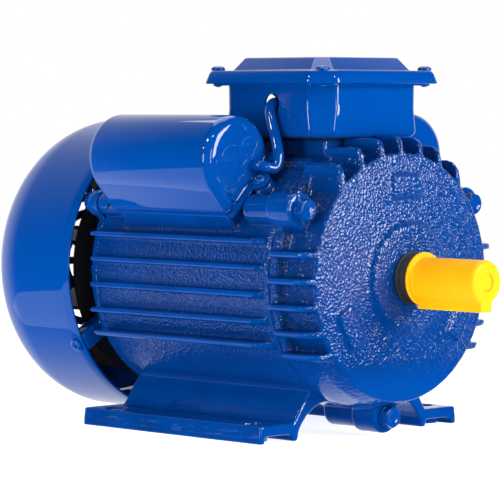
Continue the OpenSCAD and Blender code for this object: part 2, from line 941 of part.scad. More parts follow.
// Painted sleeve over the capacitor leads, from the box wall into the end of the cover
function slope_point(x, n, t) = [x, (-n + t) / sqrt(2), shaft_height + (n + t) / sqrt(2)];
sleeve_points = [[40, -30, box_floor + 17], [40, -37.4, box_floor + 17],
                 [41.6, -41.2, box_floor + 13], [44.6, -42.4, box_floor + 6],
                 [48.2, -43.2, box_floor - 2.5], [50.6, -44.4, box_floor - 9],
                 [51, -47.4, box_floor - 15], slope_point(47.8, sleeve_n, sleeve_t),
                 slope_point(38, sleeve_n, sleeve_t)];
sleeve_ref = [0.5, -0.5, 0.7];
sleeve_steps = 6;

function blend(points, i, f) =
  let (a = points[max(i - 1, 0)])
  let (b = points[i])
  let (c = points[i + 1])
  let (d = points[min(i + 2, len(points) - 1)])
  (2 * b + (c - a) * f + (2 * a - 5 * b + 4 * c - d) * f * f
   + (3 * b - a - 3 * c + d) * f * f * f) / 2;

function smooth_path(points) =
  concat([for (i = [0 : len(points) - 2]) for (k = [0 : sleeve_steps - 1])
           blend(points, i, k / sleeve_steps)],
         [points[len(points) - 1]]);

function unit(v) = v / norm(v);

function path_ring(path, k, r, ref, sides) =
  let (ahead = path[min(k + 1, len(path) - 1)])
  let (behind = path[max(k - 1, 0)])
  let (t = unit(ahead - behind))
  let (n1 = unit(cross(ref, t)))
  let (n2 = cross(t, n1))
  [for (i = [0 : sides - 1]) let (a = i * 360 / sides)
    path[k] + r * (cos(a) * n1 + sin(a) * n2)];

module sweep(points, r, ref, sides) {
  path = smooth_path(points);
  skin([for (k = [0 : len(path) - 1]) path_ring(path, k, r, ref, sides)]);
}

module left_sleeve() {
  color(sheet_blue)
    sweep(sleeve_points, sleeve_radius, sleeve_ref, 16);
}

module right_sleeve() {
  color(sheet_blue)
    mirror([0, 1, 0])
      sweep(sleeve_points, sleeve_radius, sleeve_ref, 16);
}

// ---- bearings ---------------------------------------------------------------------

front_pitch = 16.75;
front_ball = 3.9;
rear_pitch = 14.25;
rear_ball = 3.2;

// Bearing ring with a ball groove
module race(r_in, r_out, span, pitch, ball)
  difference() {
    ring(r_in, r_out, span[0], span[1]);
    translate([(span[0] + span[1]) / 2, 0, shaft_height])
      rotate([0, 90, 0])
        rotate_extrude($fn = round_fn)
          translate([pitch, 0])
            circle(r = ball + 0.25);
  }

module front_bearing_outer() {
  color(steel)
    race(19.3, 23.5, front_bearing, front_pitch, front_ball);
}

module rear_bearing_outer() {
  color(steel)
    race(16.6, 20, rear_bearing, rear_pitch, rear_ball);
}

module front_bearing_inner() {
  color(steel)
    race(10.02, 14.2, front_bearing, front_pitch, front_ball);
}

module rear_bearing_inner() {
  color(steel)
    race(8.52, 11.9, rear_bearing, rear_pitch, rear_ball);
}

module balls(span, pitch, ball, count)
  for (i = [0 : count - 1])
    polar(i * 360 / count)
      translate([(span[0] + span[1]) / 2, pitch, 0])
        sphere(r = ball, $fn = 32);

module cage(span, pitch, ball, count)
  difference() {
    middle = (span[0] + span[1]) / 2;
    ring(pitch - 1.1, pitch + 1.1, middle - ball - 0.9, middle + ball + 0.9);
    for (i = [0 : count - 1])
      polar(i * 360 / count)
        translate([middle, 0, 0])
          rotate([-90, 0, 0])
            cylinder(r = ball + 0.12, h = pitch + 5);
  }

module front_bearing_balls() {
  color(steel)
    balls(front_bearing, front_pitch, front_ball, 8);
}

module front_bearing_cage() {
  color(brass)
    cage(front_bearing, front_pitch, front_ball, 8);
}

module rear_bearing_balls() {
  color(steel)
    balls(rear_bearing, rear_pitch, rear_ball, 8);
}

module rear_bearing_cage() {
  color(brass)
    cage(rear_bearing, rear_pitch, rear_ball, 8);
}

module wave_washer() {
  color(steel)
    ring(16.8, 19.8, -80, rear_bearing[0]);
}

// ---- starting switch --------------------------------------------------------------

module switch_board() {
  color(board_brown)
    difference() {
      intersection() {
        ring(25, 52, frame_rear - 1.6, frame_rear + 0.2);
        translate([-100, -40, 0])
          cube([100, 80, shaft_height - 6]);
      }
      polar(270)
        translate([0, 46, 0])
          rod(frame_rear - 3, frame_rear + 3, 1.6);
    }
}

module switch_contacts() {
  color(brass)
    polar(270) {
      for (z = [-12, 12])
        translate([frame_rear + 0.2, 38, z - 3])
          cube([0.8, 10, 6]);
      translate([0, 31, 0])
        rod(frame_rear + 0.2, frame_rear + 1, 2.2);
    }
}

module switch_arm() {
  color(brass)
    polar(270) {
      translate([frame_rear + 1.3, 19.9, -4])
        cube([0.8, 26.1, 8]);
      translate([frame_rear + 1.7, 46, -8])
        cylinder(r = 1.3, h = 16);
    }
}

// ---- rotor ------------------------------------------------------------------------

module shaft() {
  r = shaft_diameter / 2;
  color(steel)
    difference() {
      spin([[0, -114], [6.2, -114], [7, -113], [7, -81.4], [8.5, -81], [8.5, rear_bearing[1]],
            [11, rear_bearing[1]], [11, -46], [13, -46], [13, 50], [11.5, 50],
            [11.5, front_bearing[0]], [10, front_bearing[0]], [10, shoulder_x],
            [r, shoulder_x], [r, shaft_end - 1], [r - 1, shaft_end], [0, shaft_end]]);
      // keyway on the underside, round ended
      translate([shoulder_x + 5, 0, shaft_height - r - 2])
        keyway_plan(5.5);
      // centre hole
      translate([0, 0, shaft_height])
        rod(shaft_end - 8, shaft_end + 1, 2.4);
      // groove for the circlip
      ring(6.4, 9, -111.3, -110.1);
    }
}

module keyway_plan(height)
  difference() {
    union() {
      translate([key_width / 2, 0, 0])
        cylinder(r = key_width / 2, h = height);
      translate([25 - key_width / 2, 0, 0])
        cylinder(r = key_width / 2, h = height);
      translate([key_width / 2, -key_width / 2, 0])
        cube([25 - key_width, key_width, height]);
    }
  }

module shaft_key() {
  color(dark_steel)
    translate([shoulder_x + 5, 0, shaft_height - 12])
      keyway_plan(6 - 9.5 + shaft_diameter / 2 - slack);
}

bars = 20;

module rotor_core() {
  color(dark_steel)
    difference() {
      ring(13.02, rotor_radius, core_rear, core_front);
      for (i = [0 : bars - 1])
        polar(i * 360 / bars + 9)
          translate([0, 28.6, 0])
            rod(core_rear - 1, core_front + 1, 2.2);
    }
}

module rotor_cage() {
  color(alloy)
    difference() {
      union() {
        for (span = [[core_front, core_front + 7], [core_rear - 7, core_rear]])
          ring(20, 31.6, span[0], span[1]);
        for (i = [0 : bars - 1])
          polar(i * 360 / bars + 9)
            translate([0, 28.6, 0])
              rod(core_rear - 0.5, core_front + 0.5, 2.16);
        for (i = [0 : 7])
          polar(i * 45)
            for (x = [core_front + 6.5, core_rear - 12.5])
              translate([x, 22.5, -1])
                cube([6, 8.6, 2]);
      }
      ring(0, 20, core_rear - 14, core_front + 14);
    }
}

module seal_ring() {
  color(rubber)
    spin([[10.02, boss_x + 0.5], [13.2, boss_x + 0.5], [13.4, boss_x + 1.2],
          [12.2, boss_x + 2.2], [12.8, boss_x + 3], [12.8, boss_x + 5.6],
          [12.2, boss_x + 6.2], [10.02, boss_x + 6.2]]);
}

module governor_plate() {
  color(steel) {
    ring(11.02, 16, -50, -46.2);
    ring(11.02, 24, -51.2, -49.6);
    for (angle = [0, 180])
      polar(angle)
        for (z = [-11, 9.4])
          translate([-54.6, 18.4, z])
            difference() {
              cube([4, 5.6, 1.6]);
              translate([2, 2.8, -1])
                cylinder(r = 1.05, h = 4);
            }
  }
}

module flyweight(angle)
  polar(angle)
    difference() {
      union() {
        translate([-56, 20.2, -8.8])
          cube([4.2, 8, 17.6]);
        translate([-52.6, 21.2, -12])
          cylinder(r = 1, h = 24);
      }
      translate([-58, 18, -3.6])
        cube([4, 5, 7.2]);
    }

module left_flyweight() {
  color(dark_steel)
    flyweight(180);
}

module right_flyweight() {
  color(dark_steel)
    flyweight(0);
}

module governor_collar() {
  color(white_plastic)
    spin([[11.08, frame_rear + 2.4], [20.4, frame_rear + 2.4], [20.4, frame_rear + 3.8],
          [14.2, frame_rear + 3.8], [13.6, -54.6], [11.08, -54.6]]);
}

blades = 9;

module cooling_fan() {
  color(black_plastic)
    difference() {
      union() {
        ring(7.03, 13, -110, -88.4);
        spin([[12, -91], [34, -85.2], [61.5, -82.4], [61.5, -84.4], [34, -87.4], [12, -94]]);
        for (i = [0 : blades - 1])
          polar(i * 360 / blades)
            translate([-111, 17, -1])
              cube([27, 45, 2]);
      }
      // front of the dished plate
      spin([[13.05, -90.7], [34, -85.2], [61.5, -82.4], [66, -82.4], [66, -75], [13.05, -75]]);
      spin([[61.9, -120], [64, -120], [64, -80], [61.9, -80]]);
      spin([[50, -113], [64, -113], [64, -100], [61.9, -100]]);
      for (i = [0 : blades - 1])
        polar((i + 0.5) * 360 / blades)
          translate([0, 30, 0])
            rod(-96, -82, 3);
    }
}

module fan_circlip() {
  color(dark_steel)
    difference() {
      ring(6.44, 9.4, -111.2, -110.2);
      translate([-112, 0, shaft_height - 2])
        cube([3, 12, 4]);
    }
}

module shaft_cap() {
  rib = key_width + 2;
  x0 = shoulder_x + 0.5;
  x1 = shaft_end + 2.7;
  color(cap_yellow)
    difference() {
      union() {
        spin([[0, x0], [13.3, x0], [13.3, x0 + 1.5], [12.9, x0 + 1.9], [cap_diameter / 2, x0 + 1.9],
              [cap_diameter / 2, x1 - 2], [cap_diameter / 2 - 0.6, x1 - 0.6],
              [cap_diameter / 2 - 2, x1], [0, x1]]);
        translate([x0, -rib / 2, shaft_height - 14.6])
          cube([x1 - x0 - 0.6, rib, 8]);
      }
      translate([0, 0, shaft_height])
        rod(x0 - 1, shaft_end + 0.3, shaft_diameter / 2 + slack);
      translate([x0 - 1, -key_width / 2 - 0.1, shaft_height - 12.4])
        cube([shaft_end + 1 - x0, key_width + 0.2, 8]);
      translate([0, 0, shaft_height])
        rod(x1 - 1.2, x1 + 1, 4.4);
    }
}

// ---- placement --------------------------------------------------------------------

motor_frame();
drive_end_shield();
rear_end_shield();
front_shield_bolts();
front_spring_washers();
rear_shield_bolts();
fan_cowl();
cowl_screws();
stator_core();
main_winding();
start_winding();
winding_leads();
terminal_box();
box_gasket();
terminal_lid();
lid_gasket();
lid_screws();
box_screws();
terminal_board();
terminal_studs();
terminal_nuts();
terminal_links();
earth_screw();
left_cover();
right_cover();
cover_gaskets();
cover_screws();
start_capacitor();
run_capacitor();
capacitor_straps();
left_sleeve();
right_sleeve();
front_bearing_outer();
rear_bearing_outer();
wave_washer();
switch_board();
switch_contacts();
switch_arm();
shaft();
shaft_key();
rotor_core();
rotor_cage();
front_bearing_inner();
rear_bearing_inner();
front_bearing_cage();
front_bearing_balls();
rear_bearing_cage();
rear_bearing_balls();
seal_ring();
governor_plate();
governor_collar();
left_flyweight();
right_flyweight();
cooling_fan();
fan_circlip();
shaft_cap();
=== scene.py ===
"""Looks of a foot mounted, fan cooled electric motor: blue enamel over cast iron and sheet steel."""

import json
import math

import bmesh
import bpy
import numpy as np
from mathutils import Matrix, Vector, noise


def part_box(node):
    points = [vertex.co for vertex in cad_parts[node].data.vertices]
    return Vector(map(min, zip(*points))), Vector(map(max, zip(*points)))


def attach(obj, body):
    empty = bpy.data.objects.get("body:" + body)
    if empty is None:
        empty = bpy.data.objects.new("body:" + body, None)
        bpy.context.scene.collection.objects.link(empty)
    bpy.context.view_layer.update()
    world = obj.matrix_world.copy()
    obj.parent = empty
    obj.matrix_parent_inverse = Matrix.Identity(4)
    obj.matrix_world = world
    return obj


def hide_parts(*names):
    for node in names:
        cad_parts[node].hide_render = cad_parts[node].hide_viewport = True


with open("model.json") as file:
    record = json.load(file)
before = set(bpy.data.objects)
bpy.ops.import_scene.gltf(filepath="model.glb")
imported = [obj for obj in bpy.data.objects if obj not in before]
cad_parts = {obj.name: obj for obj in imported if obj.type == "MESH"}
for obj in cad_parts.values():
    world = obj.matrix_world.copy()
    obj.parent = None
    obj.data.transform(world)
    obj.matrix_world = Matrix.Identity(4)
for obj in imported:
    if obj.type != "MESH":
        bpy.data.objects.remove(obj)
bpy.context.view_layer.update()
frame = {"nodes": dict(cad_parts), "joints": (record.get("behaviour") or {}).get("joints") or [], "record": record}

MM = 0.001
JOINTS = {joint["name"]: joint for joint in frame["joints"]}
AXIS_Z = JOINTS["rotor_spin"]["pos_m"][2]
SLOT_OF = {row["node"]: row["material_slot"] for row in frame["record"]["subparts"]}


# ---- material nodes -----------------------------------------------------------------


class Nodes:
    """Short calls for building one material's node tree."""

    def __init__(self, name):
        self.material = bpy.data.materials.new(name)
        self.material.use_nodes = True
        self.tree = self.material.node_tree
        self.shader = next(n for n in self.tree.nodes if n.type == "BSDF_PRINCIPLED")
        self.place = self.tree.nodes.new("ShaderNodeTexCoord").outputs["Object"]

    def link(self, source, target):
        self.tree.links.new(source, target)

    def set(self, **values):
        for name, value in values.items():
            self.shader.inputs[name.replace("_", " ")].default_value = value

    def noise(self, size, detail=2.0):
        """Noise with blobs about size metres across."""
        node = self.tree.nodes.new("ShaderNodeTexNoise")
        node.inputs["Scale"].default_value = 0.5 / size
        node.inputs["Detail"].default_value = detail
        self.link(self.place, node.inputs["Vector"])
        return node.outputs["Fac"]

    def cells(self, size, smooth):
        """Rounded cells about size metres across."""
        node = self.tree.nodes.new("ShaderNodeTexVoronoi")
        node.feature = "SMOOTH_F1"
        node.inputs["Scale"].default_value = 1.0 / size
        node.inputs["Smoothness"].default_value = smooth
        self.link(self.place, node.inputs["Vector"])
        return node.outputs["Distance"]

    def stretched(self, factors):
        """From here on, textures are stretched by these factors along X, Y and Z."""
        node = self.tree.nodes.new("ShaderNodeMapping")
        node.inputs["Scale"].default_value = factors
        self.link(self.place, node.inputs["Vector"])
        self.place = node.outputs["Vector"]

    def ramp(self, source, *stops):
        """Colour ramp through (position, colour) stops."""
        node = self.tree.nodes.new("ShaderNodeValToRGB")
        node.color_ramp.interpolation = "EASE"
        while len(node.color_ramp.elements) < len(stops):
            node.color_ramp.elements.new(0.5)
        for element, (position, colour) in zip(node.color_ramp.elements, stops):
            element.position = position
            element.color = (*colour, 1.0)
        self.link(source, node.inputs["Fac"])
        return node.outputs["Color"]

    def span(self, source, low, high, to_low, to_high):
        """Maps the range low..high of source to to_low..to_high."""
        node = self.tree.nodes.new("ShaderNodeMapRange")
        for name, value in zip(
            ("From Min", "From Max", "To Min", "To Max"), (low, high, to_low, to_high)
        ):
            node.inputs[name].default_value = value
        self.link(source, node.inputs["Value"])
        return node.outputs["Result"]

    def math(self, operation, a, b):
        node = self.tree.nodes.new("ShaderNodeMath")
        node.operation = operation
        for socket, value in zip(node.inputs, (a, b)):
            if isinstance(value, (int, float)):
                socket.default_value = value
            else:
                self.link(value, socket)
        return node.outputs["Value"]

    def mix(self, share, a, b):
        """Colour between a and b."""
        node = self.tree.nodes.new("ShaderNodeMix")
        node.data_type = "RGBA"
        for name, value in (("Factor", share), ("A", a), ("B", b)):
            for socket in node.inputs:
                if socket.name == name and socket.type == ("VALUE" if name == "Factor" else "RGBA"):
                    if isinstance(value, (int, float)):
                        socket.default_value = value
                    elif isinstance(value, tuple):
                        socket.default_value = (*value, 1.0)
                    else:
                        self.link(value, socket)
                    break
        return next(s for s in node.outputs if s.type == "RGBA")

    def parts(self):
        """The x, y and z of the place on the object."""
        node = self.tree.nodes.new("ShaderNodeSeparateXYZ")
        self.link(self.place, node.inputs[0])
        return node.outputs[0], node.outputs[1], node.outputs[2]

    def pointiness(self):
        return self.tree.nodes.new("ShaderNodeNewGeometry").outputs["Pointiness"]

    def bump(self, height, depth, strength, under=None):
        node = self.tree.nodes.new("ShaderNodeBump")
        node.inputs["Distance"].default_value = depth
        if isinstance(strength, (int, float)):
            node.inputs["Strength"].default_value = strength
        else:
            self.link(strength, node.inputs["Strength"])
        self.link(height, node.inputs["Height"])
        if under is not None:
            self.link(under, node.inputs["Normal"])
        return node.outputs["Normal"]

    def use(self, colour=None, roughness=None, normal=None):
        if colour is not None:
            self.link(colour, self.shader.inputs["Base Color"])
        if roughness is not None:
            self.link(roughness, self.shader.inputs["Roughness"])
        if normal is not None:
            self.link(normal, self.shader.inputs["Normal"])
            if self.shader.inputs["Coat Weight"].default_value > 0:
                self.link(normal, self.shader.inputs["Coat Normal"])


BLUE = (0.0002, 0.051, 0.275)
BLUE_DEEP = (0.0001, 0.038, 0.215)
BLUE_LIGHT = (0.0004, 0.058, 0.300)
# Darker blue painted into the recesses between the frame's fins as shade.
PAINTED_SHADE_BLUE = (0.0001, 0.026, 0.150)
SHIELD_FROM, SHIELD_TO = 0.079, 0.084
VALLEY_RADIUS, FIN_RADIUS = 0.0672, 0.0690
FOOT_TOP, VALLEY_LOW = 0.026, 0.040


def cast_paint():
    """Thick glossy enamel over sand cast iron: an orange peel skin that is coarse on the
    drive end, fine between the frame's fins and nearly smooth on the fins and feet.
    Its colour holds painted shade: darker in crevices and between the fins."""
    n = Nodes("cast_paint")
    n.set(Coat_Weight=1.0, Coat_Roughness=0.06, Coat_IOR=1.5, Specular_IOR_Level=0.0)
    pooled = n.ramp(n.noise(0.016, 3), (0.3, BLUE_DEEP), (0.55, BLUE), (0.8, BLUE_LIGHT))
    # Hollows (low pointiness) go half way to the deep blue while edges keep the plain colour: painted shade in the
    # crevices.
    edges = n.span(n.pointiness(), 0.44, 0.56, 0.0, 1.0)
    colour = n.mix(edges, n.mix(0.5, pooled, BLUE_DEEP), pooled)
    rough = n.span(n.noise(0.004, 2), 0.3, 0.7, 0.30, 0.45)
    x, y, z = n.parts()
    drive_end = n.span(x, SHIELD_FROM, SHIELD_TO, 0.0, 1.0)
    up = n.math("SUBTRACT", z, AXIS_Z)
    radius = n.math("SQRT", n.math("ADD", n.math("MULTIPLY", y, y), n.math("MULTIPLY", up, up)), 0)
    between_fins = n.span(radius, VALLEY_RADIUS, FIN_RADIUS, 1.0, 0.0)
    above_feet = n.span(z, FOOT_TOP, VALLEY_LOW, 0.0, 1.0)
    valley = n.math("MULTIPLY", between_fins, above_feet)
    lumps = n.bump(n.noise(0.0056, 2), 0.0008, n.span(drive_end, 0.0, 1.0, 0.12, 0.3))
    grain = n.bump(n.cells(0.0022, 1.0), 0.0005, n.span(drive_end, 0.0, 1.0, 0.04, 0.5), lumps)
    sand = n.bump(n.cells(0.0013, 0.35), 0.0006, n.span(valley, 0.0, 1.0, 0.03, 0.7), grain)
    # Inside the fins' root radius, above the feet, the colour goes part way to the darker blue: painted shade
    # between the fins.
    n.use(n.mix(n.math("MULTIPLY", valley, 0.55), colour, PAINTED_SHADE_BLUE), rough, sand)
    return n.material


def sheet_paint():
    """Smooth glossy enamel over pressed steel, with a faint long wave in its gloss."""
    n = Nodes("sheet_paint")
    n.set(Coat_Weight=1.0, Coat_Roughness=0.03, Coat_IOR=1.5, Specular_IOR_Level=0.0)
    pooled = n.ramp(n.noise(0.03, 2), (0.3, BLUE_DEEP), (0.5, BLUE), (0.75, BLUE_LIGHT))
    colour = n.mix(0.25, BLUE, pooled)
    rough = n.span(n.noise(0.006, 2), 0.3, 0.7, 0.30, 0.40)
    wave = n.bump(n.noise(0.013, 0), 0.0003, 0.18)
    peel = n.bump(n.noise(0.0018, 0), 0.00004, 0.3, wave)
    n.use(colour, rough, peel)
    return n.material


def metal(name, colour, shade, rough, grain_factors=(1.0, 1.0, 1.0), depth=0.00003):
    """Bare metal with tool marks along the short axis of grain_factors and a patchy sheen."""
    n = Nodes(name)
    n.set(Metallic=1.0)
    patch = n.noise(0.007, 3)
    tint = n.ramp(patch, (0.25, shade), (0.7, colour))
    n.stretched(grain_factors)
    marks = n.noise(0.0006, 2)
    n.use(tint, n.span(marks, 0.3, 0.7, rough * 0.75, rough * 1.3), n.bump(marks, depth, 0.6))
    return n.material


def plastic(name, colour, shade, rough, size=0.0009):
    """Moulded plastic, rubber or board with a fine surface and faint flow marks."""
    n = Nodes(name)
    n.set(IOR=1.46)
    tint = n.ramp(n.noise(0.012, 3), (0.3, shade), (0.7, colour))
    skin = n.noise(size, 2)
    n.use(tint, n.span(skin, 0.3, 0.7, rough * 0.85, rough * 1.15), n.bump(skin, 0.00005, 0.7))
    return n.material


def wire(name, colour, shade, turn):
    """Varnished bundle: fine turns of wire laid round the shaft, with darker gaps
    between them that are painted shade.
    """
    n = Nodes(name)
    n.set(Coat_Weight=0.8, Coat_Roughness=0.18)
    n.stretched((1.0, 0.12, 0.12))
    turns = n.cells(turn, 0.3)
    # The gaps between turns take the darker colour: painted shade.
    colour_out = n.ramp(turns, (0.1, colour), (0.75, shade))
    n.use(colour_out, n.span(turns, 0.0, 1.0, 0.28, 0.5), n.bump(turns, 0.0006, 0.8))
    return n.material


def yellow_plastic():
    """Satin yellow cap with the faint orange depth of a thin moulding."""
    n = Nodes("yellow_plastic")
    n.set(Specular_IOR_Level=0.15, Subsurface_Weight=0.1, Subsurface_Scale=0.002)
    n.set(Subsurface_Radius=(1.0, 0.5, 0.1))
    tint = n.ramp(n.noise(0.014, 2), (0.25, (0.95, 0.40, 0.0)), (0.75, (1.0, 0.46, 0.0)))
    skin = n.noise(0.0008, 2)
    n.use(tint, n.span(skin, 0.3, 0.7, 0.36, 0.5), n.bump(skin, 0.00003, 0.6))
    return n.material


MATERIALS = {
    "cast_paint": cast_paint(),
    "sheet_paint": sheet_paint(),
    "dark_steel": metal("dark_steel", (0.21, 0.21, 0.22), (0.12, 0.12, 0.13), 0.38),
    "bright_steel": metal("bright_steel", (0.68, 0.69, 0.71), (0.50, 0.51, 0.53), 0.26, (9, 1, 1)),
    "varnished_wire": wire("varnished_wire", (0.42, 0.10, 0.03), (0.10, 0.02, 0.01), 0.0011),
    "copper_wire": wire("copper_wire", (0.66, 0.27, 0.10), (0.20, 0.06, 0.02), 0.0009),
    "black_rubber": plastic("black_rubber", (0.028, 0.028, 0.03), (0.018, 0.018, 0.018), 0.62),
    "brown_board": plastic("brown_board", (0.17, 0.075, 0.035), (0.10, 0.042, 0.02), 0.45, 0.0014),
    "brass": metal("brass", (0.78, 0.55, 0.21), (0.58, 0.38, 0.13), 0.28),
    "black_plastic": plastic("black_plastic", (0.03, 0.03, 0.033), (0.02, 0.02, 0.022), 0.42),
    "white_plastic": plastic("white_plastic", (0.80, 0.80, 0.76), (0.70, 0.69, 0.64), 0.45),
    "cast_alloy": metal("cast_alloy", (0.72, 0.73, 0.74), (0.55, 0.56, 0.57), 0.42, depth=0.0001),
    "yellow_plastic": yellow_plastic(),
}

for cad_name, cad_object in frame["nodes"].items():
    cad_object.data.materials.clear()
    cad_object.data.materials.append(MATERIALS[SLOT_OF[cad_name]])


# ---- mesh helpers -------------------------------------------------------------------


def add_object(name, mesh):
    piece = bpy.data.objects.new(name, mesh)
    bpy.context.scene.collection.objects.link(piece)
    return piece


def settle(piece, body, *nodes):
    """Gives the piece the material of its node's slot and its body, and hides the CAD nodes it stands for."""
    slot_name = SLOT_OF[nodes[0]]
    piece.data.materials.clear()
    piece.data.materials.append(MATERIALS[slot_name])
    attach(piece, body)
    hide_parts(*nodes)
    return piece


def from_rows(name, rows, closed=True, caps=(False, False), skip=None):
    """Mesh over rows of points, joined row to row; skip(row, column) leaves a quad out."""
    count = len(rows[0])
    points = [tuple(p) for row in rows for p in row]
    faces = []
    for i in range(len(rows) - 1):
        for j in range(count if closed else count - 1):
            if skip is None or not skip(i, j):
                k = (j + 1) % count
                faces.append((i * count + j, i * count + k, (i + 1) * count + k, (i + 1) * count + j))
    if caps[0]:
        faces.append(tuple(reversed(range(count))))
    if caps[1]:
        faces.append(tuple((len(rows) - 1) * count + j for j in range(count)))
    mesh = bpy.data.meshes.new(name)
    mesh.from_pydata(points, [], faces)
    return tidy_mesh(mesh)


def tidy_mesh(mesh):
    """Welds doubles, drops loose points and turns all faces outwards."""
    form = bmesh.new()
    form.from_mesh(mesh)
    bmesh.ops.remove_doubles(form, verts=form.verts, dist=1e-6)
    loose = [v for v in form.verts if not v.link_faces]
    bmesh.ops.delete(form, geom=loose, context="VERTS")
    bmesh.ops.recalc_face_normals(form, faces=form.faces)
    for face in form.faces:
        face.smooth = True
    form.to_mesh(mesh)
    form.free()
    return mesh


def cad_copy(node, name):
    """A new welded mesh from a CAD node."""
    form = bmesh.new()
    form.from_mesh(frame["nodes"][node].data)
    bmesh.ops.remove_doubles(form, verts=form.verts, dist=2e-6)
    for face in form.faces:
        face.smooth = True
    mesh = bpy.data.meshes.new(name)
    form.to_mesh(mesh)
    form.free()
    return mesh


def modifier(piece, kind, **settings):
    made = piece.modifiers.new(kind.lower(), kind)
    for name, value in settings.items():
        setattr(made, name, value)
    return made


def apply_modifiers(piece):
    """Replaces the piece's mesh by its evaluated mesh."""
    graph = bpy.context.evaluated_depsgraph_get()
    graph.update()
    made = bpy.data.meshes.new_from_object(piece.evaluated_get(graph))
    piece.modifiers.clear()
    old = piece.data
    piece.data = made
    bpy.data.meshes.remove(old)
    return piece


def sharp_by_angle(piece, angle):
    """Smooth shading that breaks at edges sharper than the angle."""
    mesh = piece.data
    form = bmesh.new()
    form.from_mesh(mesh)
    limit = math.radians(angle)
    for edge in form.edges:
        edge.smooth = len(edge.link_faces) == 2 and edge.calc_face_angle(0) < limit
    for face in form.faces:
        face.smooth = True
    form.to_mesh(mesh)
    form.free()
    return piece


def frame_mount(name):
    return next(m for m in frame["record"]["mounts"] if m["name"] == name)


def coordinates(mesh):
    flat = np.empty(len(mesh.vertices) * 3, np.float32)
    mesh.vertices.foreach_get("co", flat)
    return flat.reshape(-1, 3)


def islands(node):
    """(lowest corner, highest corner) of each separate solid of a CAD node, in order."""
    form = bmesh.new()
    form.from_mesh(frame["nodes"][node].data)
    bmesh.ops.remove_doubles(form, verts=form.verts, dist=2e-6)
    seen, found = set(), []
    for start in form.verts:
        if start in seen:
            continue
        stack, group = [start], []
        seen.add(start)
        while stack:
            vert = stack.pop()
            group.append(vert.co.copy())
            for edge in vert.link_edges:
                other = edge.other_vert(vert)
                if other not in seen:
                    seen.add(other)
                    stack.append(other)
        points = np.array(group)
        found.append((Vector(points.min(0)), Vector(points.max(0))))
    form.free()
    return sorted(found, key=lambda box: tuple(round(c, 5) for c in box[0]))


# ---- castings -----------------------------------------------------------------------


SWELL_SIZE, GRAIN_SIZE = 9 * MM, 1.9 * MM


def casting(node, voxel, faces, swell, grain):
    """The node as a sand casting: every edge rounded, with a slightly uneven skin."""
    name = node + "_casting"
    piece = add_object(name, cad_copy(node, name))
    modifier(piece, "REMESH", mode="VOXEL", voxel_size=voxel, use_smooth_shade=True)
    modifier(piece, "SMOOTH", factor=0.5, iterations=5)
    apply_modifiers(piece)
    triangles = 2 * len(piece.data.polygons)
    if triangles > faces:
        modifier(piece, "DECIMATE", ratio=faces / triangles)
        apply_modifiers(piece)
    mesh = piece.data
    points = coordinates(mesh)
    normals = np.empty(len(points) * 3, np.float32)
    mesh.vertices.foreach_get("normal", normals)
    normals = normals.reshape(-1, 3)
    lift = np.array(
        [
            swell * noise.noise(Vector(p) / SWELL_SIZE) + grain * noise.noise(Vector(p) / GRAIN_SIZE)
            for p in points.tolist()
        ],
        np.float32,
    )
    points += normals * lift[:, None]
    low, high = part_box(node)
    points = np.clip(points, np.array(low, np.float32), np.array(high, np.float32))
    mesh.vertices.foreach_set("co", points.ravel())
    for polygon in mesh.polygons:
        polygon.use_smooth = True
    mesh.update()
    return settle(piece, "motor", node)


FINE = 1.0
casting("motor_frame", 0.8 * MM * FINE, 190000, 0.10 * MM, 0.05 * MM)
casting("drive_end_shield", 0.8 * MM * FINE, 190000, 0.10 * MM, 0.04 * MM)
casting("rear_end_shield", 1.0 * MM * FINE, 90000, 0.10 * MM, 0.05 * MM)


# ---- fan cowl -----------------------------------------------------------------------


def on_axis(radius, angle, x):
    """Point at a radius and angle about the shaft, angle from +Y towards +Z."""
    return (x, radius * math.cos(angle), AXIS_Z + radius * math.sin(angle))


def spoke_ring(radius, x, spokes, half_spoke, between):
    """Ring of points whose columns follow the constant width of the grille spokes."""
    edge = math.asin(min(half_spoke / radius, 0.9))
    sector = 2 * math.pi / spokes
    ring = []
    for k in range(spokes):
        centre = k * sector
        ring.append(on_axis(radius, centre - edge, x))
        for step in range(between + 1):
            angle = centre + edge + (sector - 2 * edge) * step / (between + 1)
            ring.append(on_axis(radius, angle, x))
    return ring


def fan_cowl():
    """Drawn steel cowl: round corner, ring slots and spokes in its end."""
    low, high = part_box("fan_cowl")
    outer = (high.y - low.y) / 2
    rim, end = high.x, low.x
    spokes, half_spoke, between = 8, 2.0 * MM, 22
    corner_axial, corner_radial = 30 * MM, 26 * MM
    slot_radii = [13, 21.5, 30, 38.5, 47]
    slot_half = 2.1
    hub_radius, sheet = 5 * MM, 1.2 * MM
    profile = [(outer, rim)]
    straight = 6
    for i in range(1, straight):
        profile.append((outer, rim + (end + corner_axial - rim) * i / straight))
    for i in range(41):
        a = math.pi / 2 * i / 40
        radius = outer - corner_radial + corner_radial * math.cos(a)
        profile.append((radius, end + corner_axial - corner_axial * math.sin(a)))
    flat = []
    for r in reversed(slot_radii):
        flat += [(r + slot_half) * MM, (r - slot_half) * MM]
    open_rows = {len(profile) + 2 * i for i in range(len(slot_radii))}
    profile += [(r, end) for r in flat]
    profile.append((hub_radius, end))
    rows = [spoke_ring(r, x, spokes, half_spoke, between) for r, x in profile]
    columns = between + 2
    mesh = from_rows(
        "cowl_shell",
        rows,
        caps=(False, True),
        skip=lambda i, j: i in open_rows and j % columns != 0,
    )
    piece = add_object("fan_cowl_shell", mesh)
    modifier(piece, "SOLIDIFY", thickness=sheet, offset=-1, use_even_offset=True)
    modifier(
        piece, "BEVEL", width=0.35 * MM, segments=2, limit_method="ANGLE",
        angle_limit=math.radians(50),
    )
    apply_modifiers(piece)
    sharp_by_angle(piece, 50)
    return settle(piece, "motor", "fan_cowl")


fan_cowl()


# ---- capacitor covers ---------------------------------------------------------------

